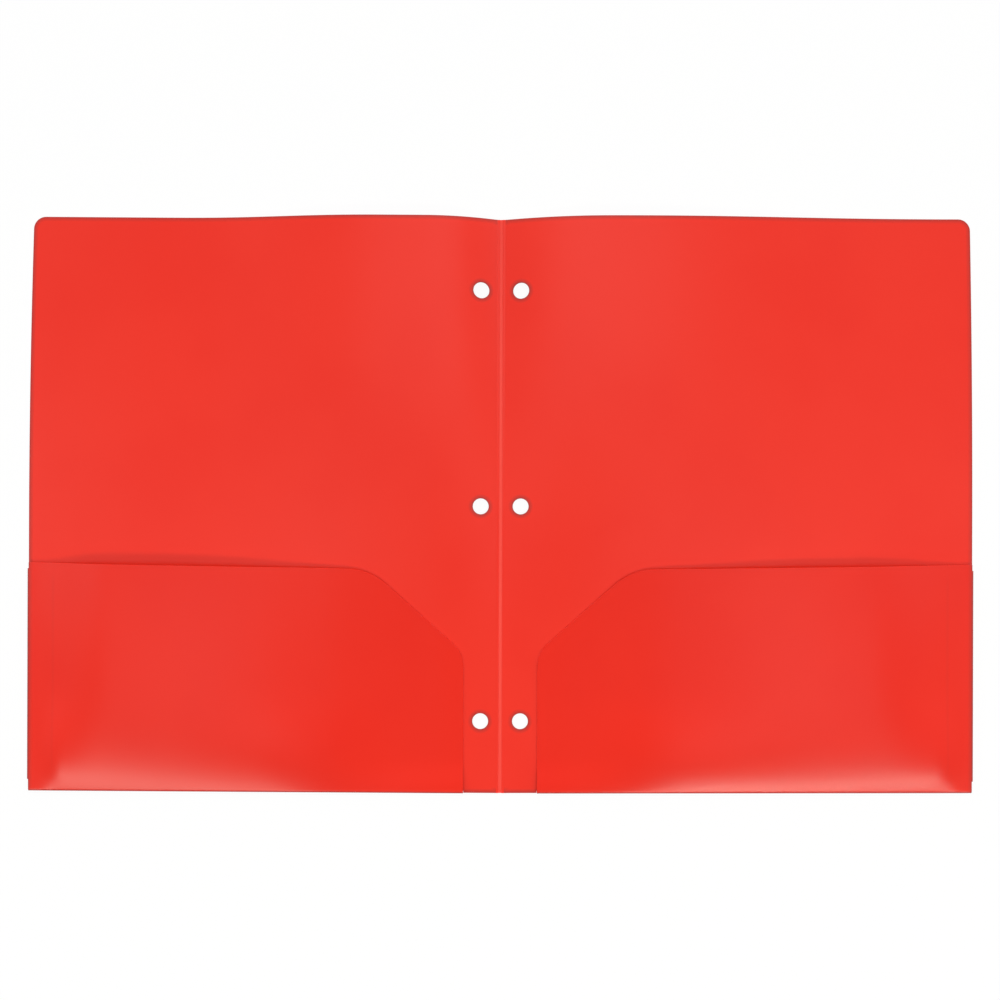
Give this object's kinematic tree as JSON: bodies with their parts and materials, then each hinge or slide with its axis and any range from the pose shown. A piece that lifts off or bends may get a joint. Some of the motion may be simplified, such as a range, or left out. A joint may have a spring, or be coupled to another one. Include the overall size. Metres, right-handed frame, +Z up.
{
  "type": "two pocket folder",
  "caption": "Plastic folder with a living-hinge spine, ring holes beside it and a crowned pocket with a cut-away inner corner across the foot of each cover.",
  "frame": {"origin": "on the table under the middle of the spine, with the folder open flat", "axes": "+X across both covers to the right pocket, +Y up the page away from the pockets, +Z up from the table to the inside of the folder"},
  "size_m": [0.474, 0.288, 0.0068],
  "materials": {
    "cover_sheet": "satin polypropylene sheet",
    "pocket_sheet": "satin polypropylene sheet",
    "fold": "satin sheet stretched smooth over a fold",
    "tab_sheet": "satin polypropylene sheet",
    "crease": "coined groove, paled by stress",
    "weld": "fused spot"
  },
  "bodies": {
    "left_cover": {"left_cover": "cover_sheet", "spine_hinge": "crease", "left_pocket_fold": "fold", "left_tab": "tab_sheet", "left_tab_fold": "fold", "left_welds": "weld"},
    "left_pocket": {"left_pocket": "pocket_sheet"},
    "right_cover": {"right_cover": "cover_sheet", "right_pocket_fold": "fold", "right_tab": "tab_sheet", "right_tab_fold": "fold", "right_welds": "weld"},
    "right_pocket": {"right_pocket": "pocket_sheet"}
  },
  "joints": [
    {"name": "cover_fold", "type": "hinge", "parent": "left_cover", "child": "right_cover", "pos_m": [0, 0, 0.0015], "axis": [0, -1, 0], "range_deg": [0, 168], "deforming": ["spine_hinge"]},
    {"name": "left_pocket_lift", "type": "hinge", "parent": "left_cover", "child": "left_pocket", "pos_m": [-0.127, -0.14295, 0.00105], "axis": [1, 0, 0], "range_deg": [0, 1.5], "stiffness_Nm_per_rad": 0.25},
    {"name": "right_pocket_lift", "type": "hinge", "parent": "right_cover", "child": "right_pocket", "pos_m": [0.127, -0.14295, 0.00105], "axis": [1, 0, 0], "range_deg": [0, 1.5], "stiffness_Nm_per_rad": 0.25}
  ]
}
